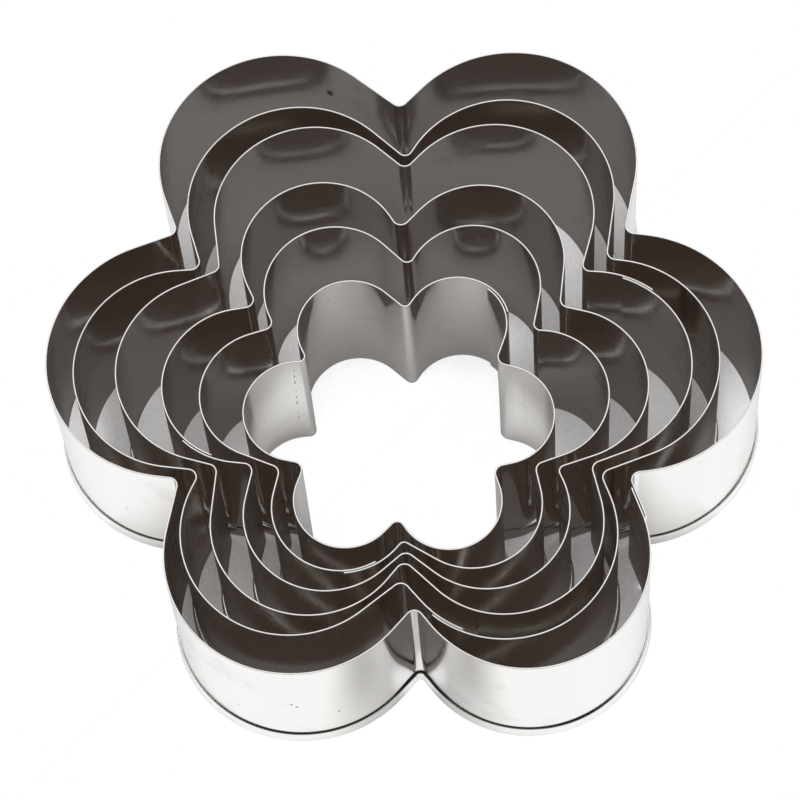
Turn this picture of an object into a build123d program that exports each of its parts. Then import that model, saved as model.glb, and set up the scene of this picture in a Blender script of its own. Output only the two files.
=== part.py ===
from build123d import *
from dataclasses import dataclass
from math import asin, atan2, cos, degrees, radians, sin
import os

# A nested set of blossom cutters, in millimetres. Each cutter is one strip of thin sheet
# steel stood on its edge and bent into six round petals. The ends of the strip overlap and
# are spot welded. The top edge is bare and cuts, and the bottom edge is folded outwards
# into a blunt hem that the hand presses on.
# Up is +Z and the origin is on the table, under the middle of the largest cutter.

# Sheet and height, the same for every cutter
SHEET = 0.3
HEIGHT = 30.0

# The folded hem, seen in the section of the strip
HEM_HEIGHT = 2.5
HEM_GAP = 0.3
HEM_CORNER = 0.28

# The lap where the two ends of a strip are joined
LAP_LENGTH = 5.2
LAP_GAP = 0.1
TONGUE_RELIEF = 0.6
TONGUE_LIFT = 0.4
WELD_DIAMETER = 2.0
WELD_COUNT = 3
WELD_PITCH = 8.0

# The bend at the bottom of each notch, to the middle of the sheet, and the room that the
# hem keeps to its centre
NOTCH_BEND = 1.4
NOTCH_HEM_ROOM = 0.1

# Size over the petals of the largest cutter, and how much less each next one measures
LARGEST_ACROSS = 116.5
STEP_TO_SECOND = 14.0
STEP_TO_THIRD = 9.5
STEP_TO_FOURTH = 15.0
STEP_TO_FIFTH = 12.5
STEP_TO_SIXTH = 15.0

# Where each smaller cutter stands inside the largest, from its middle: sideways, then back
SECOND_SIDE, SECOND_BACK = -0.5, -1.9
THIRD_SIDE, THIRD_BACK = 0.1, -2.2
FOURTH_SIDE, FOURTH_BACK = 0.3, -5.6
FIFTH_SIDE, FIFTH_BACK = 0.3, -7.6
SIXTH_SIDE, SIXTH_BACK = -0.5, -10.6

# The regular blossom, as shares of its size over the petals
PETALS = 6
PETAL_RADIUS_share = 0.17
NOTCH_REACH_share = 0.367

# The most of the room between two petals that the bend of their notch fills
NOTCH_ROOM_share = 0.95


@dataclass
class Cutter:
    """One cutter of the set, with the small errors of its bending by hand.

    The shares multiply the regular blossom, petal by petal, counter-clockwise from +X.
    Each notch follows the petal of the same place in its table. The lap starts at a share
    of the way round the bend of its petal."""

    name: str
    across: float
    side: float
    back: float
    petal_reach_shares: tuple
    petal_radius_shares: tuple
    notch_reach_shares: tuple
    petal_degrees: tuple
    notch_degrees: tuple
    lap_petal: int
    lap_share: float


def cutters():
    """The six cutters from the largest to the smallest."""
    steps = [0, STEP_TO_SECOND, STEP_TO_THIRD, STEP_TO_FOURTH, STEP_TO_FIFTH, STEP_TO_SIXTH]
    sizes = [LARGEST_ACROSS - sum(steps[: place + 1]) for place in range(len(steps))]
    return [
        Cutter(
            name="cutter_1",
            across=sizes[0],
            side=0,
            back=0,
            petal_reach_shares=(0.95, 1.00, 1.05, 0.95, 0.99, 1.04),
            petal_radius_shares=(1.05, 1.02, 0.99, 1.05, 1.03, 0.98),
            notch_reach_shares=(0.98, 1.04, 1.01, 0.98, 1.03, 0.99),
            petal_degrees=(-1, 2, 0, 0, 3, -1),
            notch_degrees=(0, 0.5, -1, 1, 2, -1.5),
            lap_petal=5,
            lap_share=0.99,
        ),
        Cutter(
            name="cutter_2",
            across=sizes[1],
            side=SECOND_SIDE,
            back=SECOND_BACK,
            petal_reach_shares=(0.99, 1.02, 0.98, 1.04, 0.98, 1.00),
            petal_radius_shares=(1.01, 1.00, 1.03, 0.99, 1.01, 0.99),
            notch_reach_shares=(1.02, 0.99, 0.99, 0.99, 1.00, 1.00),
            petal_degrees=(0, -0.5, 0, 0, -1, -1),
            notch_degrees=(-1.5, -1.5, 1, -0.5, 0, -1.5),
            lap_petal=5,
            lap_share=0.06,
        ),
        Cutter(
            name="cutter_3",
            across=sizes[2],
            side=THIRD_SIDE,
            back=THIRD_BACK,
            petal_reach_shares=(0.98, 1.00, 1.01, 0.98, 1.00, 1.03),
            petal_radius_shares=(1.01, 1.02, 1.01, 1.02, 0.99, 0.98),
            notch_reach_shares=(0.98, 1.04, 1.02, 1.01, 1.00, 1.02),
            petal_degrees=(-1, 1, -1.5, 0, 1, 0),
            notch_degrees=(-0.5, -0.5, -0.5, 0, 0, -1),
            lap_petal=0,
            lap_share=0.78,
        ),
        Cutter(
            name="cutter_4",
            across=sizes[3],
            side=FOURTH_SIDE,
            back=FOURTH_BACK,
            petal_reach_shares=(1.00, 0.98, 1.05, 1.00, 0.98, 0.99),
            petal_radius_shares=(0.99, 1.01, 0.98, 1.00, 0.99, 0.99),
            notch_reach_shares=(1.00, 0.99, 1.00, 0.98, 1.01, 1.00),
            petal_degrees=(-1, 0.5, 0, -1.5, 0.5, 0),
            notch_degrees=(-1.5, 1, -1, -0.5, 0, -1.5),
            lap_petal=3,
            lap_share=0.77,
        ),
        Cutter(
            name="cutter_5",
            across=sizes[4],
            side=FIFTH_SIDE,
            back=FIFTH_BACK,
            petal_reach_shares=(0.99, 1.03, 1.03, 1.01, 0.99, 1.00),
            petal_radius_shares=(1.00, 0.97, 1.01, 0.99, 0.98, 0.98),
            notch_reach_shares=(0.99, 0.98, 1.04, 0.98, 1.04, 1.01),
            petal_degrees=(-0.5, 0, 1, -2, 1.5, -0.5),
            notch_degrees=(-1, -1, -0.5, 1, -0.5, -1),
            lap_petal=4,
            lap_share=0.69,
        ),
        Cutter(
            name="cutter_6",
            across=sizes[5],
            side=SIXTH_SIDE,
            back=SIXTH_BACK,
            petal_reach_shares=(0.96, 1.08, 1.03, 0.99, 1.02, 1.03),
            petal_radius_shares=(1.00, 0.93, 0.98, 1.00, 0.96, 0.96),
            notch_reach_shares=(0.98, 1.01, 0.98, 0.97, 1.00, 0.98),
            petal_degrees=(-2, -1, -2, -2.5, -0.5, -3),
            notch_degrees=(-1, -2.5, -2.5, -1, -1.5, -3),
            lap_petal=1,
            lap_share=0.2,
        ),
    ]


@dataclass
class Bend:
    """A round bend of the strip: its centre, its radius to the middle of the sheet, and
    +1 where the strip turns left, round a petal, or -1 where it turns right, in a notch."""

    centre: Vector
    radius: float
    turn: int


def polar(reach, angle, centre=Vector(0, 0)):
    """The point at a distance and an angle in degrees from a centre."""
    return centre + Vector(reach * cos(radians(angle)), reach * sin(radians(angle)))


def petal_angle(cutter, place):
    """The angle in degrees at which a petal points away from the middle of its cutter."""
    place %= PETALS
    return 360 * place / PETALS + cutter.petal_degrees[place]


def notch_bottom(cutter, place):
    """The deepest point of the notch that follows a petal, and the way out of the notch."""
    place %= PETALS
    reach = cutter.across * NOTCH_REACH_share * cutter.notch_reach_shares[place]
    angle = 360 * (place + 0.5) / PETALS + cutter.notch_degrees[place]
    return polar(reach, angle, Vector(cutter.side, cutter.back)), polar(1, angle)


def petal(cutter, place):
    """The bend round one petal. It leaves room for the outer layer of a lap, and for a bend
    that is wide enough for the hem at the bottom of the notch on each side."""
    place %= PETALS
    regular = cutter.across * PETAL_RADIUS_share
    reach = (cutter.across - SHEET) / 2 - regular
    middle = Vector(cutter.side, cutter.back)
    centre = polar(reach * cutter.petal_reach_shares[place], petal_angle(cutter, place), middle)
    least_bend = SHEET / 2 + HEM_GAP + SHEET + NOTCH_HEM_ROOM
    kept_free = least_bend + (SHEET + LAP_GAP if place == cutter.lap_petal else 0)
    radius = regular * cutter.petal_radius_shares[place]
    for side in (place - 1, place):
        bottom, outwards = notch_bottom(cutter, side)
        radius = min(radius, (bottom + outwards * least_bend - centre).length - kept_free)
    return Bend(centre, radius, 1)


def notch(cutter, place, before, after):
    """The bend at the bottom of the notch that follows a petal. It is as round as the
    petals on both sides leave room for, up to its full size."""
    bottom, outwards = notch_bottom(cutter, place)
    radius = NOTCH_BEND
    for side in (before, after):
        across_gap = bottom - side.centre
        room = (across_gap.length**2 - side.radius**2) / 2
        widest = room / (side.radius - across_gap.dot(outwards))
        radius = min(radius, NOTCH_ROOM_share * widest)
    return Bend(bottom + outwards * radius, radius, -1)


def heading_between(first, second):
    """The heading in degrees of the straight that leaves one bend and enters the next."""
    way = second.centre - first.centre
    lean = asin((second.turn * second.radius - first.turn * first.radius) / way.length)
    return degrees(atan2(way.Y, way.X) - lean)


def bend_point(bend, heading):
    """The point of a bend where the strip has a heading."""
    return polar(bend.radius, heading - 90 * bend.turn, bend.centre)


def strip_line(bends, start_heading, end_heading):
    """The line of the strip through its bends, each joined to the next by a straight."""
    pairs = list(zip(bends, bends[1:]))
    headings = [start_heading] + [heading_between(*pair) for pair in pairs] + [end_heading]
    edges = []
    for bend, enter, leave in zip(bends, headings, headings[1:]):
        swing = bend.turn * (((leave - enter) * bend.turn) % 360)
        edges.append(CenterArc(bend.centre, bend.radius, enter - 90 * bend.turn, swing))
    straights = [
        Line(bend_point(first, heading), bend_point(second, heading))
        for (first, second), heading in zip(pairs, headings[1:])
    ]
    in_order = [edge for both in zip(edges, straights) for edge in both] + edges[-1:]
    return Wire(in_order)


def hemmed_section(start, heading):
    """The section of the strip across its heading: the wall, and the hem folded outwards."""
    wall = SHEET / 2
    lip = wall + HEM_GAP
    outside = lip + SHEET
    fold = HEM_GAP / 2
    with BuildSketch(Plane(start, x_dir=polar(1, heading - 90), z_dir=-polar(1, heading))) as section:
        with BuildLine():
            Polyline((-wall, HEM_CORNER), (-wall, HEIGHT), (wall, HEIGHT), (wall, SHEET + fold))
            ThreePointArc((wall, SHEET + fold), (wall + fold, SHEET), (lip, SHEET + fold))
            Polyline((lip, SHEET + fold), (lip, HEM_HEIGHT), (outside, HEM_HEIGHT), (outside, HEM_CORNER))
            RadiusArc((outside, HEM_CORNER), (outside - HEM_CORNER, 0), HEM_CORNER)
            Line((outside - HEM_CORNER, 0), (HEM_CORNER - wall, 0))
            RadiusArc((HEM_CORNER - wall, 0), (-wall, HEM_CORNER), HEM_CORNER)
        make_face()
    return section.sketch


def plain_section(start, heading, thickness, low):
    """The section of a flat strip on its edge, from one height to the top."""
    with BuildSketch(Plane(start, x_dir=polar(1, heading - 90), z_dir=-polar(1, heading))) as section:
        with Locations((0, (low + HEIGHT) / 2)):
            Rectangle(thickness, HEIGHT - low)
    return section.sketch


def round_trip(cutter):
    """The bends of the strip in order, from its outer end to its inner end, and the
    headings at both ends of the bend where they overlap."""
    first = cutter.lap_petal
    under = petal(cutter, first)
    over = Bend(under.centre, under.radius + SHEET + LAP_GAP, under.turn)
    petals = [over] + [petal(cutter, first + step) for step in range(1, PETALS)] + [under]
    bends = [over]
    for step, (before, after) in enumerate(zip(petals, petals[1:])):
        bends += [notch(cutter, first + step, before, after), after]
    return bends, heading_between(bends[-2], under), heading_between(over, bends[1])


def lap_heading(cutter, enter, leave):
    """The heading of the strip where its outer layer ends."""
    return enter + cutter.lap_share * ((leave - enter) % 360)


def lap_line(cutter, inwards, relief):
    """A line along the lap, inside the middle of its outer layer by a given depth. It starts
    ahead of the outer end by the relief and runs to the inner end."""
    bends, enter, leave = round_trip(cutter)
    over, valley, beyond = bends[:3]
    layer = Bend(over.centre, over.radius - inwards, over.turn)
    bottom = Bend(valley.centre, valley.radius + inwards, valley.turn)
    start = lap_heading(cutter, enter, leave) - degrees(relief / layer.radius)
    line = strip_line([layer, bottom], start, heading_between(valley, beyond))
    return line.trim(0, (relief + LAP_LENGTH) / line.length), start


def make_strip(cutter):
    """The bent strip. It starts as the outer layer of the lap, goes once round the blossom
    and ends as a plain tongue, without a hem, inside the layer that it started with."""
    bends, enter, leave = round_trip(cutter)
    start = lap_heading(cutter, enter, leave)
    inner, inner_start = lap_line(cutter, SHEET + LAP_GAP, TONGUE_RELIEF)
    line = strip_line(bends, start, inner_start)
    body = sweep(hemmed_section(bend_point(bends[0], start), start), path=line)
    return body + sweep(plain_section(inner @ 0, inner_start, SHEET, TONGUE_LIFT), path=inner)


def make_welds(cutter):
    """The spot welds that fill the gap between the two layers of the lap."""
    line, start = lap_line(cutter, (SHEET + LAP_GAP) / 2, 0)
    film = sweep(plain_section(line @ 0, start, LAP_GAP, 0), path=line)
    outwards = Plane(line @ 0.5, z_dir=(line % 0.5).cross(Vector(0, 0, 1)))
    spots = []
    for place in range(WELD_COUNT):
        height = HEIGHT / 2 + (place - (WELD_COUNT - 1) / 2) * WELD_PITCH
        spot = outwards.location * Cylinder(WELD_DIAMETER / 2, WELD_DIAMETER)
        spots += (film & Pos(0, 0, height) * spot).solids()
    return Compound(spots)


def main():
    os.makedirs("parts", exist_ok=True)
    for cutter in cutters():
        strip = make_strip(cutter)
        welds = make_welds(cutter)
        export_step(strip, f"parts/{cutter.name}_strip.step")
        export_step(welds, f"parts/{cutter.name}_welds.step")
        box = strip.bounding_box()
        print(f"{cutter.name}: {box.size.X:.1f} by {box.size.Y:.1f} by {box.size.Z:.1f} mm,",
              f"solids {len(strip.solids())}, valid {strip.is_valid}, welds {len(welds.solids())}")


main()
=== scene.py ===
# %% [markdown]
# # A nest of blossom cutters in bright steel
# Six pastry cutters stand one inside the other. Each is a single strip of thin stainless
# sheet on its edge, bent into six petals, lapped and spot welded where its ends meet, with
# a bare cutting edge at the top and a folded hem at the bottom. The lesson bends the same
# strips again with fine, slightly wavy walls, because bright sheet shows every small error
# of its shape in its reflections.

# %% The frame that everything is built on
import bpy
import math
from mathutils import Matrix, Vector


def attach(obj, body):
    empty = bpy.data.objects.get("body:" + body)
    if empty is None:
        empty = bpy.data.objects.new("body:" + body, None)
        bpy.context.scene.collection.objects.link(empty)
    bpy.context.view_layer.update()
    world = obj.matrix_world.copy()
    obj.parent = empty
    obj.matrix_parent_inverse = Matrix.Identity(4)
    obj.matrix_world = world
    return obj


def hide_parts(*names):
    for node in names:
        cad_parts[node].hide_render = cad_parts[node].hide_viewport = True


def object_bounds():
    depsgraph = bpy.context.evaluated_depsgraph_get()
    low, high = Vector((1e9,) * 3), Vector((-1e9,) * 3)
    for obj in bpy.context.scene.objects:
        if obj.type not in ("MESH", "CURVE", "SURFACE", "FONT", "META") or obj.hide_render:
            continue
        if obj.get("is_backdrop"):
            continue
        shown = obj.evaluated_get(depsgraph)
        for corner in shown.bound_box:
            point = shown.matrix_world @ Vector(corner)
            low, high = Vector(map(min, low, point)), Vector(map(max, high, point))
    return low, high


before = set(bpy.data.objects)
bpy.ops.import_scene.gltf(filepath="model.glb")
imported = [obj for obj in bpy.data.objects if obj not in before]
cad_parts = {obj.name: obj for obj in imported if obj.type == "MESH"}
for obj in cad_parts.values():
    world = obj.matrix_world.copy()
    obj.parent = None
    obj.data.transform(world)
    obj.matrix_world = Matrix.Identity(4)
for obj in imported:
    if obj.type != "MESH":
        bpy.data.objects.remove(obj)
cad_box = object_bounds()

MM = 0.001
scene = bpy.context.scene

# %% [markdown]
# ## Helpers
# Colours are written as in a paint program, as sRGB hex, and Blender wants linear values,
# so one function turns them. One more function adds a shader or geometry node with its
# settings and links, which keeps each material short enough to read.

# %% Colours and nodes
def paint(code):
    """The linear colour of an sRGB hex code."""
    channels = [int(code[i:i + 2], 16) / 255 for i in (1, 3, 5)]
    linear = [c / 12.92 if c <= 0.04045 else ((c + 0.055) / 1.055) ** 2.4 for c in channels]
    return (*linear, 1.0)


def input_of(node, name):
    """An input of a node by its place, as i0 or i1, or by its name with _ for each space."""
    if name[0] == "i" and name[1:].isdigit():
        return node.inputs[int(name[1:])]
    return node.inputs[name.replace("_", " ")]


def add(tree, kind, settings=None, **links):
    """Adds a node. Settings are its properties. Links are its inputs, each with the value,
    socket or node that feeds it, and a node feeds from its first output."""
    node = tree.nodes.new(kind)
    for name, value in (settings or {}).items():
        setattr(node, name, value)
    for name, value in links.items():
        if isinstance(value, bpy.types.NodeSocket):
            tree.links.new(value, input_of(node, name))
        elif isinstance(value, bpy.types.Node):
            tree.links.new(value.outputs[0], input_of(node, name))
        else:
            input_of(node, name).default_value = value
    return node


print("middle grey is", round(paint("#808080")[0], 3), "of white in linear light")

# %% [markdown]
# ## The line of a strip
# A petal is a round bend to the left and a notch is a tight bend to the right, joined by
# short straights that touch both. The tables hold what the bending by hand did to each
# petal and notch, as shares of a regular blossom, counter-clockwise from the right.

# %% Sizes of the sheet, in millimetres, and of the regular blossom, as shares
SHEET, HEIGHT = 0.3, 30.0
HEM_HEIGHT, HEM_GAP, HEM_CORNER = 2.5, 0.3, 0.28
LAP_LENGTH, LAP_GAP, TONGUE_RELIEF, TONGUE_LIFT = 5.2, 0.1, 0.6, 0.4
NOTCH_BEND, NOTCH_HEM_ROOM, NOTCH_ROOM = 1.4, 0.1, 0.95
PETALS, PETAL_RADIUS, NOTCH_REACH = 6, 0.17, 0.367
SECTOR = 360 / PETALS
print("each petal has", SECTOR, "degrees of the blossom")

# %% The six cutters
# Across is the size over the petals and stand the place of the middle, both in millimetres.
# Lap is the petal that holds the lap and where on it the lap starts. For each petal, reach
# and round multiply its distance and radius, and turned is its swing in degrees. For the
# notch that follows it, depth multiplies its distance, and swung is its swing in degrees.
CUTTERS = {
    "cutter_1": dict(
        across=116.5, stand=(0, 0), lap=(5, 0.99),
        reach=(0.95, 1.00, 1.05, 0.95, 0.99, 1.04), round=(1.05, 1.02, 0.99, 1.05, 1.03, 0.98),
        depth=(0.98, 1.04, 1.01, 0.98, 1.03, 0.99), turned=(-1, 2, 0, 0, 3, -1),
        swung=(0, 0.5, -1, 1, 2, -1.5)),
    "cutter_2": dict(
        across=102.5, stand=(-0.5, -1.9), lap=(5, 0.06),
        reach=(0.99, 1.02, 0.98, 1.04, 0.98, 1.00), round=(1.01, 1.00, 1.03, 0.99, 1.01, 0.99),
        depth=(1.02, 0.99, 0.99, 0.99, 1.00, 1.00), turned=(0, -0.5, 0, 0, -1, -1),
        swung=(-1.5, -1.5, 1, -0.5, 0, -1.5)),
    "cutter_3": dict(
        across=93.0, stand=(0.1, -2.2), lap=(0, 0.78),
        reach=(0.98, 1.00, 1.01, 0.98, 1.00, 1.03), round=(1.01, 1.02, 1.01, 1.02, 0.99, 0.98),
        depth=(0.98, 1.04, 1.02, 1.01, 1.00, 1.02), turned=(-1, 1, -1.5, 0, 1, 0),
        swung=(-0.5, -0.5, -0.5, 0, 0, -1)),
    "cutter_4": dict(
        across=78.0, stand=(0.3, -5.6), lap=(3, 0.77),
        reach=(1.00, 0.98, 1.05, 1.00, 0.98, 0.99), round=(0.99, 1.01, 0.98, 1.00, 0.99, 0.99),
        depth=(1.00, 0.99, 1.00, 0.98, 1.01, 1.00), turned=(-1, 0.5, 0, -1.5, 0.5, 0),
        swung=(-1.5, 1, -1, -0.5, 0, -1.5)),
    "cutter_5": dict(
        across=65.5, stand=(0.3, -7.6), lap=(4, 0.69),
        reach=(0.99, 1.03, 1.03, 1.01, 0.99, 1.00), round=(1.00, 0.97, 1.01, 0.99, 0.98, 0.98),
        depth=(0.99, 0.98, 1.04, 0.98, 1.04, 1.01), turned=(-0.5, 0, 1, -2, 1.5, -0.5),
        swung=(-1, -1, -0.5, 1, -0.5, -1)),
    "cutter_6": dict(
        across=50.5, stand=(-0.5, -10.6), lap=(1, 0.2),
        reach=(0.96, 1.08, 1.03, 0.99, 1.02, 1.03), round=(1.00, 0.93, 0.98, 1.00, 0.96, 0.96),
        depth=(0.98, 1.01, 0.98, 0.97, 1.00, 0.98), turned=(-2, -1, -2, -2.5, -0.5, -3),
        swung=(-1, -2.5, -2.5, -1, -1.5, -3)),
}
print("millimetres across:", [cutter["across"] for cutter in CUTTERS.values()])


# %% The bend of each petal and notch, as its centre, its radius and its turn
LEFT, RIGHT = 1, -1


def way(angle):
    return Vector((math.cos(angle), math.sin(angle)))


def notch_bottom(cutter, k):
    """The deepest point of the notch that follows petal k, and the way out of the notch."""
    k %= PETALS
    angle = math.radians(SECTOR * (k + 0.5) + cutter["swung"][k])
    reach = cutter["across"] * NOTCH_REACH * cutter["depth"][k]
    return Vector(cutter["stand"]) + way(angle) * reach, way(angle)


def petal(cutter, k):
    """The bend round petal k. It leaves room for a lap, and for the hem in its notches."""
    k %= PETALS
    regular = cutter["across"] * PETAL_RADIUS
    reach = ((cutter["across"] - SHEET) / 2 - regular) * cutter["reach"][k]
    centre = Vector(cutter["stand"]) + way(math.radians(SECTOR * k + cutter["turned"][k])) * reach
    least = SHEET / 2 + HEM_GAP + SHEET + NOTCH_HEM_ROOM
    kept_free = least + (SHEET + LAP_GAP if k == cutter["lap"][0] else 0)
    radius = regular * cutter["round"][k]
    for side in (k - 1, k):
        bottom, out = notch_bottom(cutter, side)
        radius = min(radius, (bottom + out * least - centre).length - kept_free)
    return centre, radius, LEFT


def notch(cutter, k, before, after):
    """The bend at the bottom of notch k, as round as the petals beside it allow."""
    bottom, out = notch_bottom(cutter, k)
    radius = NOTCH_BEND
    for centre, petal_radius, _ in (before, after):
        gap = bottom - centre
        widest = (gap.length_squared - petal_radius ** 2) / 2 / (petal_radius - gap.dot(out))
        radius = min(radius, NOTCH_ROOM * widest)
    return bottom + out * radius, radius, RIGHT


for name, cutter in CUTTERS.items():
    print(name, "petal radii", [round(petal(cutter, k)[1], 1) for k in range(PETALS)])

# %% Points along the bends and the straights between them
PETAL_STEP, NOTCH_STEP = math.radians(2.5), math.radians(6)
STRAIGHT_STEP = 0.8


def heading_between(first, second):
    """The heading of the straight that leaves one bend and enters the next."""
    step = second[0] - first[0]
    lean = math.asin((second[2] * second[1] - first[2] * first[1]) / step.length)
    return math.atan2(step.y, step.x) - lean


def bend_point(bend, heading):
    return bend[0] + way(heading - math.pi / 2 * bend[2]) * bend[1]


def sampled(bends, start, end):
    """Points along bends, and the straights between them, from one heading to another."""
    headings = [start] + [heading_between(a, b) for a, b in zip(bends, bends[1:])] + [end]
    points = []
    for i, (bend, enter, leave) in enumerate(zip(bends, headings, headings[1:])):
        swing = bend[2] * (((leave - enter) * bend[2]) % math.tau)
        steps = max(2, math.ceil(abs(swing) / (PETAL_STEP if bend[2] == LEFT else NOTCH_STEP)))
        points += [bend_point(bend, enter + swing * n / steps) for n in range(steps + 1)]
        if i + 1 < len(bends):
            a, b = points[-1], bend_point(bends[i + 1], leave)
            pieces = max(1, round((b - a).length / STRAIGHT_STEP))
            points += [a.lerp(b, n / pieces) for n in range(1, pieces)]
    return points


quarter = sampled([(Vector((0, 0)), 1.0, LEFT)], 0.0, math.pi / 2)
print("a quarter of a petal has", len(quarter), "points")

# %% The two lines of a strip: once round the blossom, and the tongue inside the lap
LEAST_STEP = 0.02


def spaced(points):
    """The points without those that lie on the one before."""
    kept = points[:1]
    for point in points[1:]:
        if (point - kept[-1]).length > LEAST_STEP:
            kept.append(point)
    return kept


def cut_to(points, length):
    """The start of a line of points, as long as asked."""
    kept = points[:1]
    for a, b in zip(points, points[1:]):
        step = (b - a).length
        if step > length:
            return kept + [a.lerp(b, length / step)]
        length -= step
        kept.append(b)
    return kept


def strip_lines(cutter):
    """The points of the hemmed strip, and those of the plain tongue at its inner end."""
    first, share = cutter["lap"]
    layer = SHEET + LAP_GAP
    centre, radius, _ = petal(cutter, first)
    under, over = (centre, radius, LEFT), (centre, radius + layer, LEFT)
    petals = [over] + [petal(cutter, first + k) for k in range(1, PETALS)] + [under]
    bends = [over]
    for k, (before, after) in enumerate(zip(petals, petals[1:])):
        bends += [notch(cutter, first + k, before, after), after]
    enter, leave = heading_between(bends[-2], under), heading_between(over, bends[1])
    start = enter + share * ((leave - enter) % math.tau)
    inner = start - TONGUE_RELIEF / radius
    bottom, bend, _ = bends[1]
    beside = (bottom, bend + layer, RIGHT)
    tongue = sampled([under, beside], inner, heading_between(bends[1], bends[2]))
    return spaced(sampled(bends, start, inner)), spaced(cut_to(tongue, TONGUE_RELIEF + LAP_LENGTH))


for name, cutter in CUTTERS.items():
    print(name, "points of strip and tongue:", [len(line) for line in strip_lines(cutter)])

# %% [markdown]
# ## The section of the sheet
# The hem is the same sheet folded outwards and up again, with a thin dark gap between the
# lip and the wall. Its points are given as (outwards, height). The wall has a row of points
# every few millimetres, because the waves of the sheet run up the wall too.

# %% Points of the hemmed and of the plain section
# The sheet is drawn a little thinner than it is, because its bare edge glares and would
# look too wide. Both sides of that edge have a small bevel.
SEEN_SHEET, BEVEL = 0.26, 0.05
WALL = SEEN_SHEET / 2
LIP = WALL + HEM_GAP
OUTSIDE = LIP + SEEN_SHEET
FOLD = HEM_GAP / 2
WALL_ROWS, CORNER_STEPS, FOLD_STEPS = 8, 4, 6


def arc(middle, radius, from_degrees, to_degrees, steps):
    turns = [from_degrees + (to_degrees - from_degrees) * n / steps for n in range(steps + 1)]
    angles = [math.radians(turn) for turn in turns]
    return [(middle[0] + radius * math.cos(a), middle[1] + radius * math.sin(a)) for a in angles]


def wall_rows(outwards, start, end):
    return [(outwards, start + (end - start) * row / WALL_ROWS) for row in range(WALL_ROWS + 1)]


cut_edge = [(WALL - BEVEL, HEIGHT), (BEVEL - WALL, HEIGHT)]
hemmed = (
    wall_rows(WALL, SEEN_SHEET + FOLD, HEIGHT - BEVEL) + cut_edge
    + wall_rows(-WALL, HEIGHT - BEVEL, HEM_CORNER)
    + arc((HEM_CORNER - WALL, HEM_CORNER), HEM_CORNER, 180, 270, CORNER_STEPS)[1:]
    + arc((OUTSIDE - HEM_CORNER, HEM_CORNER), HEM_CORNER, 270, 360, CORNER_STEPS)
    + arc((LIP + WALL, HEM_HEIGHT - WALL), WALL, 0, 180, FOLD_STEPS)
    + arc((WALL + FOLD, SEEN_SHEET + FOLD), FOLD, 0, -180, FOLD_STEPS)[:-1]
)
plain = (
    wall_rows(WALL, TONGUE_LIFT, HEIGHT - BEVEL) + cut_edge
    + wall_rows(-WALL, HEIGHT - BEVEL, TONGUE_LIFT)
)
print("section points:", len(hemmed), "and", len(plain))

# %% [markdown]
# ## Bright annealed stainless steel
# The strip is rolled, softened in a bright furnace and slit, which leaves a skin close to a
# mirror with a faint grain along the strip. It is a metal, so its whole look is what it
# reflects, a little less of it and slightly warm each time. The brown of its deep gaps is a
# painted shade, a glow painted into the table's light.
# Handling adds specks, a few hair scratches and dull smudges. The strip's own map, metres
# along it and metres up it, carries the grain, and every pattern has a size in millimetres.

# %% What all the steels share
def per_metre(size):
    """How often a size in millimetres goes into a metre, which is the scale of a pattern."""
    return 1 / (size * MM)


def metal(name):
    """A new metal: the material, its tree and its shader."""
    material = bpy.data.materials.new(name)
    material.use_nodes = True
    tree = material.node_tree
    shader = tree.nodes["Principled BSDF"]
    shader.inputs["Metallic"].default_value = 1.0
    return material, tree, shader


print("half a millimetre goes", round(per_metre(0.5)), "times into a metre")

# %% The grain of rolling, and the bands of bending
# Real rolled lines are about 0.15 mm apart. They are drawn at 0.5 mm, so that they show.
GRAIN = (16.67, 0.5)
# The upright bands are the places where the strip was bent a little at a time
BAND = (5.88, 71.4)


def strip_noise(tree, size, detail):
    """A noise in the strip's own map, with a size along the strip and a size up it."""
    strip_map = add(tree, "ShaderNodeUVMap", {"uv_map": "strip"})
    scale = (per_metre(size[0]), per_metre(size[1]), 1)
    place = add(tree, "ShaderNodeMapping", Vector=strip_map, Scale=scale)
    return add(tree, "ShaderNodeTexNoise", {"noise_dimensions": "2D"},
               Vector=place, Scale=1.0, Detail=detail)


print("grain", GRAIN, "mm, bands", BAND, "mm, along and up the strip")

# %% Smudges and specks of handling
SMUDGE_SIZE, SMUDGE_STARTS, SMUDGE_FULL = 9.09, 0.56, 0.74
# Specks are dust and pits under half a millimetre, in a few of the cells of a Voronoi pattern
SPECK_CELL, SPECK_RADIUS, SPECK_SHARE = 3.03, 0.167, 0.07


def smudges(tree, body):
    """How dull each place is: nothing on the clean skin, one in the middle of a smudge."""
    cloud = add(tree, "ShaderNodeTexNoise", Vector=body, Scale=per_metre(SMUDGE_SIZE),
                Detail=4.0, Roughness=0.62)
    return add(tree, "ShaderNodeMapRange", Value=cloud, From_Min=SMUDGE_STARTS, From_Max=SMUDGE_FULL)


def specks(tree, body):
    """One inside a speck and nothing beside it."""
    cells = add(tree, "ShaderNodeTexVoronoi", {"feature": "F1"},
                Vector=body, Scale=per_metre(SPECK_CELL))
    chance = add(tree, "ShaderNodeSeparateColor", Color=cells.outputs["Color"])
    few = add(tree, "ShaderNodeMath", {"operation": "GREATER_THAN"}, i0=chance, i1=1 - SPECK_SHARE)
    near = add(tree, "ShaderNodeMath", {"operation": "LESS_THAN"},
               i0=cells.outputs["Distance"], i1=SPECK_RADIUS / SPECK_CELL)
    return add(tree, "ShaderNodeMath", {"operation": "MULTIPLY"}, i0=few, i1=near)


print("smudges", SMUDGE_SIZE, "mm wide, specks", SPECK_RADIUS * 2, "mm wide")
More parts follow.
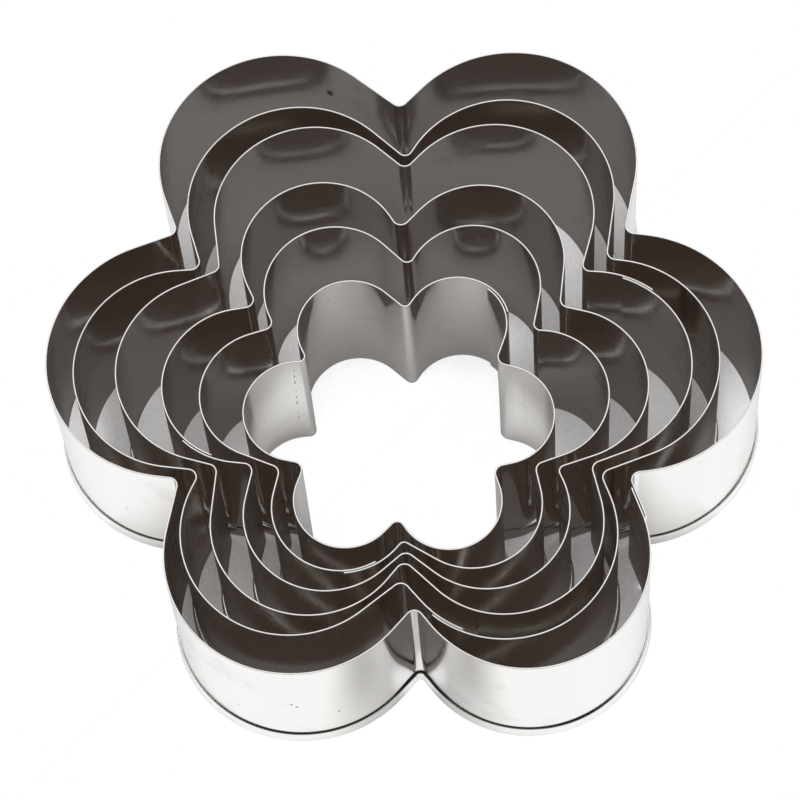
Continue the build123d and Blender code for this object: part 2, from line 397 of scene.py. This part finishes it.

# %% The few marks that show on these six
# Each has its centre and half its size in millimetres, its turn in degrees, how much of it
# is soft rim, and whether it darkens the steel or dulls it.
MARKS = [
    ((-12.4, 52.7, 19.7), (0.9, 1.2, 1.3), (0, 0, 0), 0.9, "darkens"),
    ((-3.0, 46.0, 25.0), (0.12, 0.8, 3.6), (0, 11, 0), 0.6, "dulls"),
    ((-17.5, -54.3, 15.1), (0.35, 0.8, 0.3), (0, 0, 0), 0.4, "darkens"),
    ((-18.3, -54.2, 16.2), (0.2, 0.8, 0.5), (0, 20, 0), 0.4, "darkens"),
    ((-11.1, -53.4, 10.3), (0.3, 0.8, 0.3), (0, 0, 0), 0.4, "darkens"),
]
# Two upright rows of small marks stand in the side petals of the smallest cutter
for n in range(8):
    place = (-17.6 - 0.06 * n, -1.5, 26.8 - 2.7 * n + 0.5 * (n % 3))
    MARKS.append((place, (0.13, 0.8, 0.35 + 0.3 * (n % 3)), (0, 0, 0), 0.8, "darkens"))
for n in range(12):
    place = (19.2 + 0.2 * (n % 2), -3.6, 23.0 - 1.4 * n)
    MARKS.append((place, (0.3, 0.8, 0.25), (0, 0, 0), 0.8, "dulls"))


def spot_share(tree, place, centre, half, turn=(0, 0, 0), soft=1.0):
    """One in the middle of an oval spot, falling to nothing at its rim. Sizes are millimetres."""
    local = add(tree, "ShaderNodeMapping", {"vector_type": "TEXTURE"}, Vector=place,
                Location=[c * MM for c in centre], Rotation=[math.radians(a) for a in turn],
                Scale=[h * MM for h in half])
    far = add(tree, "ShaderNodeVectorMath", {"operation": "LENGTH"}, i0=local)
    return add(tree, "ShaderNodeMapRange", {"interpolation_type": "SMOOTHSTEP"},
               Value=far.outputs["Value"], From_Min=1 - soft, From_Max=1.0, To_Min=1.0, To_Max=0.0)


def marks(tree, body, effect):
    """The share of all the marks that have one effect."""
    strongest = 0.0
    for centre, half, turn, soft, mark_effect in MARKS:
        if mark_effect == effect:
            share = spot_share(tree, body, centre, half, turn, soft)
            strongest = add(tree, "ShaderNodeMath", {"operation": "MAXIMUM"}, i0=share, i1=strongest)
    return strongest


print(len(MARKS), "marks")

# %% Tone and gloss of the bright steel
CLEAN_TONE, SMUDGED_TONE, SPECK_TONE = "#f6f5f3", "#ebeae8", "#7d7672"
SMOOTHEST, ROUGHEST = 0.085, 0.13
# Seen along the face, the same fine roughness spreads the reflection much wider
EDGE_ON_STARTS, EDGE_ON_FULL, EDGE_ON_SPREAD = 0.72, 0.98, 4.5
SMUDGE_DULLS, SPECK_DULLS, MARK_DULLS = 0.12, 0.3, 0.35


def steel_tone(tree, dull, speck):
    """Clean skin, a touch darker in smudges, dark in specks."""
    smudged = add(tree, "ShaderNodeMix", {"data_type": "RGBA"},
                  i0=dull, i6=paint(CLEAN_TONE), i7=paint(SMUDGED_TONE))
    return add(tree, "ShaderNodeMix", {"data_type": "RGBA"},
               i0=speck, i6=smudged.outputs[2], i7=paint(SPECK_TONE))


def steel_roughness(tree, grain, dull, speck, bright):
    """The fine roughness of the grain, wider seen along the face, and more in each fault."""
    fine = add(tree, "ShaderNodeMapRange", Value=grain, From_Min=0.3, From_Max=0.7,
               To_Min=SMOOTHEST, To_Max=ROUGHEST)
    facing = add(tree, "ShaderNodeLayerWeight", Blend=0.5)
    spread = add(tree, "ShaderNodeMapRange", Value=facing.outputs["Facing"],
                 From_Min=EDGE_ON_STARTS, From_Max=EDGE_ON_FULL, To_Min=1.0, To_Max=EDGE_ON_SPREAD)
    rough = add(tree, "ShaderNodeMath", {"operation": "MULTIPLY"}, i0=fine, i1=spread)
    for fault, dulls in ((dull, SMUDGE_DULLS), (speck, SPECK_DULLS), (bright, MARK_DULLS)):
        rough = add(tree, "ShaderNodeMath", {"operation": "MULTIPLY_ADD"}, i0=fault, i1=dulls, i2=rough)
    return rough


print("roughness from", SMOOTHEST, "to", ROUGHEST, "and up to", EDGE_ON_SPREAD, "times that edge on")

# %% The steel of the walls
# How strongly the grain and the bands tip the reflection, and their depth in millimetres
GRAIN_RELIEF, GRAIN_DEPTH = 0.012, 0.1
BAND_RELIEF, BAND_DEPTH = 0.6, 0.05


def bright_steel():
    material, tree, shader = metal("bright annealed stainless steel")
    body = add(tree, "ShaderNodeTexCoord").outputs["Object"]
    grain = strip_noise(tree, GRAIN, 3.0)
    bands = strip_noise(tree, BAND, 2.0)
    dull = smudges(tree, body)
    speck = add(tree, "ShaderNodeMath", {"operation": "MAXIMUM"},
                i0=specks(tree, body), i1=marks(tree, body, "darkens"))
    tone = steel_tone(tree, dull, speck)
    rough = steel_roughness(tree, grain, dull, speck, marks(tree, body, "dulls"))
    relief = add(tree, "ShaderNodeBump", Height=grain, Strength=GRAIN_RELIEF, Distance=GRAIN_DEPTH * MM)
    relief = add(tree, "ShaderNodeBump", Height=bands, Normal=relief,
                 Strength=BAND_RELIEF, Distance=BAND_DEPTH * MM)
    tree.links.new(tone.outputs[2], shader.inputs["Base Color"])
    tree.links.new(rough.outputs[0], shader.inputs["Roughness"])
    tree.links.new(relief.outputs[0], shader.inputs["Normal"])
    return material


steel = bright_steel()
print(steel.name, "has", len(steel.node_tree.nodes), "nodes")

# %% [markdown]
# ## The sheared edge and the spot welds
# The cutting edge is sheared and left bare, so it is a finely torn, satin surface that
# catches light from everywhere and shows as a pale line. A spot weld is two skins of steel
# melted into one, grey and matt. Both are one noise of their own grain between two tones
# and two roughnesses, so one function makes both.

# %% A satin steel of fine grain
TORN_GRAIN, MELT_GRAIN = 0.714, 0.4


def grained_metal(name, size, on_strip, tones, roughness):
    material, tree, shader = metal(name)
    if on_strip:
        grain = strip_noise(tree, (size, size), 2.0)
    else:
        body = add(tree, "ShaderNodeTexCoord").outputs["Object"]
        grain = add(tree, "ShaderNodeTexNoise", Vector=body, Scale=per_metre(size), Detail=2.0)
    tone = add(tree, "ShaderNodeMix", {"data_type": "RGBA"},
               i0=grain, i6=paint(tones[0]), i7=paint(tones[1]))
    rough = add(tree, "ShaderNodeMapRange", Value=grain, To_Min=roughness[0], To_Max=roughness[1])
    tree.links.new(tone.outputs[2], shader.inputs["Base Color"])
    tree.links.new(rough.outputs[0], shader.inputs["Roughness"])
    return material


edge_steel = grained_metal(
    "sheared edge of stainless steel", TORN_GRAIN, True, tones=("#e9e6e3", "#faf8f6"), roughness=(0.3, 0.5))
weld_steel = grained_metal(
    "fused stainless steel spot", MELT_GRAIN, False, tones=("#8f8a86", "#aaa5a1"), roughness=(0.4, 0.6))
print("made", edge_steel.name, "and", weld_steel.name)

# %% [markdown]
# ## Bending the strip with Geometry Nodes
# A strip is its section carried along its line, so Curve to Mesh makes it. With the curve
# normal set to Z Up the section stays upright: its X points out of the blossom and its Y
# points down. The tree also keeps each point's distance along the strip, which becomes the
# map of the steel, and pushes the wall in and out by a slow noise of that distance and the
# height. That is the waviness of sheet bent by hand, and both faces of the sheet follow it.

# %% Carrying the section along the line
def stored(tree, geometry, kind, name, value, domain="POINT"):
    """A geometry that keeps a value under a name."""
    return add(tree, "GeometryNodeStoreNamedAttribute", {"data_type": kind, "domain": domain},
               Geometry=geometry, Name=name, Value=value)


def carried_section(tree, given):
    """The swept sheet. Curve to Mesh turns its faces inwards here, so they are flipped."""
    upright = add(tree, "GeometryNodeSetCurveNormal", {"mode": "Z_UP"}, Curve=given["Line"])
    along = add(tree, "GeometryNodeSplineParameter").outputs["Length"]
    line = stored(tree, upright, "FLOAT", "along", along)
    line = stored(tree, line, "FLOAT_VECTOR", "sideways", add(tree, "GeometryNodeInputNormal"))
    place = add(tree, "ShaderNodeSeparateXYZ", i0=add(tree, "GeometryNodeInputPosition"))
    section = add(tree, "GeometryNodeObjectInfo", Object=given["Section"]).outputs["Geometry"]
    section = stored(tree, section, "FLOAT", "from wall", place.outputs["X"])
    swept = add(tree, "GeometryNodeCurveToMesh", Curve=line, Profile_Curve=section, Fill_Caps=True)
    return add(tree, "GeometryNodeFlipFaces", i0=swept)


def kept_value(tree, kind, name):
    return add(tree, "GeometryNodeInputNamedAttribute", {"data_type": kind}, Name=name)


print("the section is", round(OUTSIDE + WALL, 2), "mm wide over the hem")

# %% The slow waves of the wall, and the lean of the hem's lip
# The lip bends between two heights. Along the strip it gapes every few centimetres, where
# the bending pulled it off the wall: it leans fully on the wall below one level of a noise,
# and by the least share above another.
LIP_BENDS_FROM, LIP_BENDS_TO = 0.5 * MM, 2.5 * MM
GAPE_LENGTH, GAPE_SEED_STEP = 25, 5
SHUT_LEVEL, GAPING_LEVEL, MOST_LEAN, LEAST_LEAN = 0.45, 0.7, 1.03, 0.6


def wave_depth(tree, given, distance, up):
    """How far the waves push each place out. The foot stands still on the table."""
    place = add(tree, "ShaderNodeCombineXYZ", X=distance, Y=up, Z=given["Seed"])
    length = add(tree, "ShaderNodeCombineXYZ", X=given["Wave length"], Y=given["Wave length"], Z=1.0)
    scaled = add(tree, "ShaderNodeVectorMath", {"operation": "DIVIDE"}, i0=place, i1=length)
    noise = add(tree, "ShaderNodeTexNoise", Vector=scaled, Scale=1.0, Detail=1.0)
    level = add(tree, "ShaderNodeMath", {"operation": "SUBTRACT"}, i0=noise, i1=0.5)
    share = add(tree, "ShaderNodeMath", {"operation": "DIVIDE", "use_clamp": True},
                i0=up, i1=given["Height"])
    depth = add(tree, "ShaderNodeMath", {"operation": "MULTIPLY"}, i0=level, i1=given["Waviness"])
    return add(tree, "ShaderNodeMath", {"operation": "MULTIPLY"}, i0=depth, i1=share)


def lip_lean(tree, given, distance, up):
    """How far the lip of the hem leans back on the wall at each place."""
    on_lip = add(tree, "ShaderNodeMath", {"operation": "GREATER_THAN"},
                 i0=kept_value(tree, "FLOAT", "from wall"), i1=given["Lip starts"])
    up_lip = add(tree, "ShaderNodeMapRange", Value=up, From_Min=LIP_BENDS_FROM, From_Max=LIP_BENDS_TO)
    place = add(tree, "ShaderNodeCombineXYZ", X=distance, Y=given["Seed"])
    place = add(tree, "ShaderNodeVectorMath", {"operation": "MULTIPLY"}, i0=place,
                i1=(per_metre(GAPE_LENGTH), GAPE_SEED_STEP, 1))
    gaping = add(tree, "ShaderNodeTexNoise", Vector=place, Scale=1.0, Detail=0.0)
    lean = add(tree, "ShaderNodeMapRange", Value=gaping, From_Min=SHUT_LEVEL, From_Max=GAPING_LEVEL,
               To_Min=MOST_LEAN, To_Max=LEAST_LEAN)
    for factor in (given["Lip lean"], up_lip, on_lip):
        lean = add(tree, "ShaderNodeMath", {"operation": "MULTIPLY"}, i0=lean, i1=factor)
    return lean


print("the lip can gape every", GAPE_LENGTH, "mm or so")

# %% The map, the smoothing and the two steels
SHARP_TURN = math.radians(32)
EDGE_STARTS = (HEIGHT - 2 * BEVEL) * MM


def dressed(tree, given, sheet, distance, up):
    """Corners of the section stay sharp, bends stay smooth, and the top gets the bare steel."""
    place = add(tree, "ShaderNodeCombineXYZ", X=distance, Y=up)
    mapped = stored(tree, sheet, "FLOAT2", "strip", place, "CORNER")
    smooth = add(tree, "GeometryNodeSetShadeSmooth", {"domain": "FACE"},
                 Geometry=mapped, Shade_Smooth=True)
    corner = add(tree, "ShaderNodeMath", {"operation": "GREATER_THAN"},
                 i0=add(tree, "GeometryNodeInputMeshEdgeAngle"), i1=SHARP_TURN)
    crisp = add(tree, "GeometryNodeSetShadeSmooth", {"domain": "EDGE"},
                Geometry=smooth, Selection=corner, Shade_Smooth=False)
    skin = add(tree, "GeometryNodeSetMaterial", Geometry=crisp, Material=given["Skin"])
    high = add(tree, "ShaderNodeMath", {"operation": "GREATER_THAN"}, i0=up, i1=EDGE_STARTS)
    edge = add(tree, "GeometryNodeSetMaterial",
               Geometry=skin, Selection=high, Material=given["Cut edge"])
    return add(tree, "GeometryNodeRealizeInstances", Geometry=edge)


print("the cutting edge starts at", round(EDGE_STARTS / MM, 1), "mm")

# %% The whole tree, with its named inputs in metres
# The lip may lean almost as far as the gap of the hem is wide, so it never enters the wall
SIZES = {"Waviness": 0.22 * MM, "Wave length": 17 * MM, "Height": HEIGHT * MM,
         "Lip starts": (WALL + FOLD) * MM, "Lip lean": 0.28 * MM}


def strip_tree():
    tree = bpy.data.node_groups.new("Bent strip", "GeometryNodeTree")
    sockets = {"Line": "Geometry", "Section": "Object", "Skin": "Material", "Cut edge": "Material",
               "Seed": "Float", **dict.fromkeys(SIZES, "Float")}
    for label, kind in sockets.items():
        socket = tree.interface.new_socket(label, in_out="INPUT", socket_type=f"NodeSocket{kind}")
        if label in SIZES:
            socket.default_value = SIZES[label]
    tree.interface.new_socket("Strip", in_out="OUTPUT", socket_type="NodeSocketGeometry")
    given = add(tree, "NodeGroupInput").outputs
    distance = kept_value(tree, "FLOAT", "along")
    sideways = kept_value(tree, "FLOAT_VECTOR", "sideways")
    up = add(tree, "ShaderNodeSeparateXYZ", i0=add(tree, "GeometryNodeInputPosition")).outputs["Z"]
    depth = add(tree, "ShaderNodeMath", {"operation": "SUBTRACT"},
                i0=wave_depth(tree, given, distance, up), i1=lip_lean(tree, given, distance, up))
    push = add(tree, "ShaderNodeVectorMath", {"operation": "SCALE"}, i0=sideways, Scale=depth)
    waved = add(tree, "GeometryNodeSetPosition", Geometry=carried_section(tree, given), Offset=push)
    add(tree, "NodeGroupOutput", i0=dressed(tree, given, waved, distance, up))
    return tree


bent_strip = strip_tree()
print("the tree has", len(bent_strip.nodes), "nodes")

# %% [markdown]
# ## From the tree to plain meshes
# The line and the section go to the tree as curves, and the line carries the tree as a
# modifier. Each cutter has two lines, the hemmed strip and the plain tongue inside its lap.
# What the tree makes is turned into plain meshes and joined, because the frame moves whole
# objects, one for each cutter.

# %% The two sections as curves
def poly(name, points, closed):
    """A curve object of straight runs through points in metres."""
    curve = bpy.data.curves.new(name, "CURVE")
    curve.dimensions = "3D"
    spline = curve.splines.new("POLY")
    spline.points.add(len(points) - 1)
    for at, point in zip(spline.points, points):
        at.co = (*point, 1)
    spline.use_cyclic_u = closed
    obj = bpy.data.objects.new(name, curve)
    scene.collection.objects.link(obj)
    return obj


sections = [poly(label, [(n * MM, -z * MM, 0) for n, z in ring], True)
            for label, ring in (("hemmed section", hemmed), ("plain section", plain))]
print("curves:", [section.name for section in sections])

# %% Sweeping one strip and making it a plain mesh
def swept_mesh(name, line, section, seed):
    guide = poly(name, [(point.x * MM, point.y * MM, 0) for point in line], False)
    bend = guide.modifiers.new("Bent strip", "NODES")
    bend.node_group = bent_strip
    values = {**SIZES, "Section": section, "Seed": seed, "Skin": steel, "Cut edge": edge_steel}
    for item in bent_strip.interface.items_tree:
        if item.in_out == "INPUT" and item.name in values:
            bend[item.identifier] = values[item.name]
    graph = bpy.context.evaluated_depsgraph_get()
    mesh = bpy.data.meshes.new_from_object(guide.evaluated_get(graph), depsgraph=graph)
    bpy.data.objects.remove(guide)
    return mesh


def joined(name, meshes):
    """One object from several meshes, at the origin."""
    objects = []
    for mesh in meshes:
        obj = bpy.data.objects.new(name, mesh)
        scene.collection.objects.link(obj)
        objects.append(obj)
    with bpy.context.temp_override(active_object=objects[0], selected_editable_objects=objects):
        bpy.ops.object.join()
    objects[0].data.name = name
    return objects[0]


# Each strip and each tongue starts its waves elsewhere in the noise
STRIP_SEED_STEP, TONGUE_SEED_STEP = 3.7, 0.5
strips = {}
for number, (name, cutter) in enumerate(CUTTERS.items()):
    line, tongue = strip_lines(cutter)
    seed = STRIP_SEED_STEP * number
    strips[name] = joined(f"{name}_bright_strip", [
        swept_mesh(f"{name} wall", line, sections[0], seed),
        swept_mesh(f"{name} tongue", tongue, sections[1], seed + TONGUE_SEED_STEP)])
    print(strips[name].name, "faces", len(strips[name].data.polygons))
for section in sections:
    bpy.data.objects.remove(section)

# %% [markdown]
# ## Taking the place of the plain strips
# A real cutter lifts out of the nest as one piece. So each bright strip rides with its
# cutter's body and is shown in place of the plain solid. The welds lie hidden inside the
# lap, so their own solids stay and only get their steel.

# %% Each strip stands for its plain solid and rides with its cutter
for name, strip in strips.items():
    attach(strip, name)
    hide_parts(f"{name}_strip")
    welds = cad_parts[f"{name}_welds"]
    for slot in welds.material_slots:
        slot.material = weld_steel
    print(strip.name, "rides on", name, "with the welds", welds.name)

# %% [markdown]
# ## The table
# Steel shows its surroundings, so they matter more than the lamps. Every wall here leans its
# reflection down to the table, and the nest is a maze of mirrors: a ray meets one to five
# walls before it lands. The table is white and runs on to the horizon. Ambient Occlusion
# says how much of the sky a place sees, and where that is little the table keeps the shadow
# of the nest. Light Path counts the mirrors on the way, and each takes most of what is left.
# That separates the bright outer walls, the grey inner ones and the nearly black gaps. Pools
# and shades stand for the side lights of a studio. The last warm glow is a painted brown in
# the table's light, which comes back through any number of mirrors as the painted shade of
# the steel's deepest folds.

# %% How bright the table is where it sees this much of the sky, with 1 as white
OPENNESS = (
    (0.0, 0.06), (0.05, 0.27), (0.14, 0.66), (0.2, 1.1), (0.3, 1.9),
    (0.4, 3.1), (0.5, 4.3), (0.6, 5.5), (1.0, 5.5),
)
MOST_BRIGHT = OPENNESS[-1][1]
SHADOW_REACH, SHADOW_SAMPLES = 120 * MM, 24
# Seen straight, the wide open middle of the nest is as white as the table around it
MIDDLE_STARTS, MIDDLE_WHITE = 0.09, 0.15
# What is left of the table's light after each mirror, beside what the steel itself takes,
# and the share that steel gives back
KEPT_PER_MIRROR, STEEL_SHINE = 0.185, 0.91


def sky_brightness(tree, sky_seen):
    curve = add(tree, "ShaderNodeValToRGB", Fac=sky_seen)
    stops = curve.color_ramp.elements
    for at, level in OPENNESS[1:-1]:
        stops.new(at)
    for stop, (at, level) in zip(stops, OPENNESS):
        stop.color = (level / MOST_BRIGHT,) * 3 + (1,)
    return curve


print("brightness of the open table before it is cut to white:", MOST_BRIGHT)

# %% Pools and shades of the side lights
# Each has its place, half its width and half its depth in millimetres, and what its middle
# multiplies the brightness by.
POOLS = (
    (-19, -10, 9, 11, 2.6), (18, -10, 9, 11, 2.6), (-56, -6, 8, 22, 3.0), (56, -6, 8, 22, 3.0),
    (-13, 17, 12, 6, 1.4), (13, 17, 12, 6, 1.4), (-28, 42, 26, 14, 1.25), (28, 42, 26, 14, 1.25),
    (-10, -2, 10, 10, 0.85), (9, -4, 8, 8, 0.9), (1, -57, 16, 11, 0.5), (1, -44.5, 4.5, 5.5, 2.6),
)


def pooled(tree, level):
    """The brightness with all pools and shades."""
    spot = add(tree, "ShaderNodeTexCoord").outputs["Object"]
    for x, y, wide, deep, gain in POOLS:
        within = spot_share(tree, spot, (x, y, 0), (wide, deep, 1))
        factor = add(tree, "ShaderNodeMapRange", Value=within, To_Min=1.0, To_Max=gain)
        level = add(tree, "ShaderNodeMath", {"operation": "MULTIPLY"}, i0=level, i1=factor)
    return level


pool_count = sum(gain > 1 for *_, gain in POOLS)
print(pool_count, "pools and", len(POOLS) - pool_count, "shades")

# %% White laminate that lights the steel and keeps the nest's shadow
# The deep brown is a glow painted into the table's light, the painted shade of the steel's deepest folds
PAINTED_FOLD_SHADE_BROWN, LAMINATE = "#312722", "#e9e9e9"


def table_light(tree, ray):
    """What the table shows to the camera and to the mirrors, with a painted brown glow as the
    shade of deep folds, which comes back the same through any number of mirrors."""
    mirrors = ray["Ray Depth"]
    sky_seen = add(tree, "ShaderNodeAmbientOcclusion", {"samples": SHADOW_SAMPLES},
                   Distance=SHADOW_REACH).outputs["AO"]
    kept = add(tree, "ShaderNodeMath", {"operation": "POWER"}, i0=KEPT_PER_MIRROR, i1=mirrors)
    scale = add(tree, "ShaderNodeMath", {"operation": "MULTIPLY"}, i0=kept, i1=MOST_BRIGHT)
    left = add(tree, "ShaderNodeMath", {"operation": "MULTIPLY"},
               i0=scale, i1=sky_brightness(tree, sky_seen))
    middle = add(tree, "ShaderNodeMapRange", {"interpolation_type": "SMOOTHSTEP"}, Value=sky_seen,
                 From_Min=MIDDLE_STARTS, From_Max=MIDDLE_WHITE)
    lifted = add(tree, "ShaderNodeMath", {"operation": "MULTIPLY"}, i0=middle, i1=ray["Is Camera Ray"])
    best = add(tree, "ShaderNodeMath", {"operation": "MAXIMUM"}, i0=pooled(tree, left), i1=lifted)
    white = add(tree, "ShaderNodeMath", {"operation": "MINIMUM"}, i0=best, i1=1.0)
    regained = add(tree, "ShaderNodeMath", {"operation": "POWER"}, i0=1 / STEEL_SHINE, i1=mirrors)
    painted_fold_brown = add(tree, "ShaderNodeVectorMath", {"operation": "SCALE"},
                i0=paint(PAINTED_FOLD_SHADE_BROWN)[:3], Scale=regained)
    total = add(tree, "ShaderNodeVectorMath", {"operation": "ADD"}, i0=painted_fold_brown, i1=white)
    clipped = add(tree, "ShaderNodeVectorMath", {"operation": "MINIMUM"}, i0=total, i1=(1, 1, 1))
    return add(tree, "ShaderNodeEmission", Color=clipped, Strength=1.0)


def white_laminate():
    material = bpy.data.materials.new("white laminate table")
    material.use_nodes = True
    tree = material.node_tree
    tree.nodes.clear()
    ray = add(tree, "ShaderNodeLightPath").outputs
    lit = add(tree, "ShaderNodeBsdfDiffuse", Color=paint(LAMINATE))
    seen = ray["Is Camera Ray"]
    for kind in ("Is Glossy Ray", "Is Transmission Ray"):
        seen = add(tree, "ShaderNodeMath", {"operation": "MAXIMUM"}, i0=seen, i1=ray[kind])
    both = add(tree, "ShaderNodeMixShader", i0=seen, i1=lit, i2=table_light(tree, ray))
    add(tree, "ShaderNodeOutputMaterial", Surface=both)
    return material


laminate = white_laminate()
print(laminate.name, "has", len(laminate.node_tree.nodes), "nodes")

# %% The table itself, a hair below the feet of the cutters
TABLE_REACH, TABLE_DROP = 6.0, 0.05 * MM
plane = bpy.data.meshes.new("table")
corners = [(x * TABLE_REACH, y * TABLE_REACH, 0) for x, y in ((-1, -1), (1, -1), (1, 1), (-1, 1))]
plane.from_pydata(corners, [], [(0, 1, 2, 3)])
plane.materials.append(laminate)
table = bpy.data.objects.new("table", plane)
table.location.z = -TABLE_DROP
scene.collection.objects.link(table)
table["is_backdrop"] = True
print("the table is", 2 * TABLE_REACH, "m wide")

# %% [markdown]
# ## The studio and the camera
# The walls of the studio are pale, and lose light in each mirror as the table does, so that
# folds that see only the sky are dark too, with a last glow. One wide softbox overhead
# lights what isn't a mirror. The photograph was taken from far off and high in front with a
# long lens, so the petals hardly shrink towards the back, and its picture is slightly tilted.

# %% The pale studio around the table
SKY_GLOW, MIRRORS_FOLLOWED = 0.03, 12
world = bpy.data.worlds.new("pale studio")
scene.world = world
world.use_nodes = True
sky = world.node_tree
mirrors = add(sky, "ShaderNodeLightPath").outputs["Ray Depth"]
before = add(sky, "ShaderNodeMath", {"operation": "SUBTRACT"}, i0=mirrors, i1=1.0)
kept = add(sky, "ShaderNodeMath", {"operation": "POWER"}, i0=KEPT_PER_MIRROR, i1=before)
regained = add(sky, "ShaderNodeMath", {"operation": "POWER"}, i0=1 / STEEL_SHINE, i1=mirrors)
glow = add(sky, "ShaderNodeMath", {"operation": "MULTIPLY_ADD"}, i0=regained, i1=SKY_GLOW, i2=kept)
level = add(sky, "ShaderNodeMath", {"operation": "MINIMUM"}, i0=glow, i1=1.0)
sky.nodes["Background"].inputs["Color"].default_value = paint("#ffffff")
sky.links.new(level.outputs[0], sky.nodes["Background"].inputs["Strength"])
scene.cycles.glossy_bounces = MIRRORS_FOLLOWED
print("mirrors followed:", scene.cycles.glossy_bounces)

# %% The softbox overhead, with places and sizes in metres
SOFTBOX_PLACE, SOFTBOX_AIM = Vector((0.0, 0.35, 0.9)), Vector((0, 0, 0.02))
SOFTBOX_SIZE, SOFTBOX_WATTS = (0.9, 0.7), 2.5
lamp = bpy.data.lights.new("softbox overhead", "AREA")
lamp.shape = "RECTANGLE"
lamp.size, lamp.size_y = SOFTBOX_SIZE
lamp.energy = SOFTBOX_WATTS
softbox = bpy.data.objects.new("softbox overhead", lamp)
softbox.location = SOFTBOX_PLACE
softbox.rotation_euler = (SOFTBOX_AIM - SOFTBOX_PLACE).to_track_quat("-Z", "Y").to_euler()
scene.collection.objects.link(softbox)
print(softbox.name, lamp.energy, "W")

# %% The camera
# The focal length is known in pixels of a picture 800 pixels wide, because that is what
# fitting the rims to the photograph gives. Place and aim are in millimetres, and the tilt
# is in degrees.
PICTURE_WIDTH, LENS_IN_PIXELS, SENSOR_WIDTH = 800, 3960, 36.0
CAMERA_PLACE, CAMERA_AIM, CAMERA_TILT = (21.8, -263.0, 604.3), (-0.48, -8.33, 30.0), -5.7
NEAREST, FARTHEST = 0.01, 50
camera = bpy.data.objects.new("camera", bpy.data.cameras.new("camera"))
scene.collection.objects.link(camera)
scene.camera = camera
camera.data.sensor_width = SENSOR_WIDTH
camera.data.lens = SENSOR_WIDTH * LENS_IN_PIXELS / PICTURE_WIDTH
camera.data.clip_start, camera.data.clip_end = NEAREST, FARTHEST
camera.location = Vector(CAMERA_PLACE) * MM
facing = (Vector(CAMERA_AIM) * MM - camera.location).to_track_quat("-Z", "Y")
tilt = Matrix.Rotation(math.radians(CAMERA_TILT), 3, "Z")
camera.rotation_euler = (facing.to_matrix() @ tilt).to_euler()
scene.view_settings.view_transform = "Standard"
print("lens", round(camera.data.lens, 1), "mm")

# %% The sizes of the CAD parts and of the scene
seen_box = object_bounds()
for label, box in (("CAD box", cad_box), ("scene box", seen_box)):
    print(label, [tuple(round(value, 4) for value in corner) for corner in box])
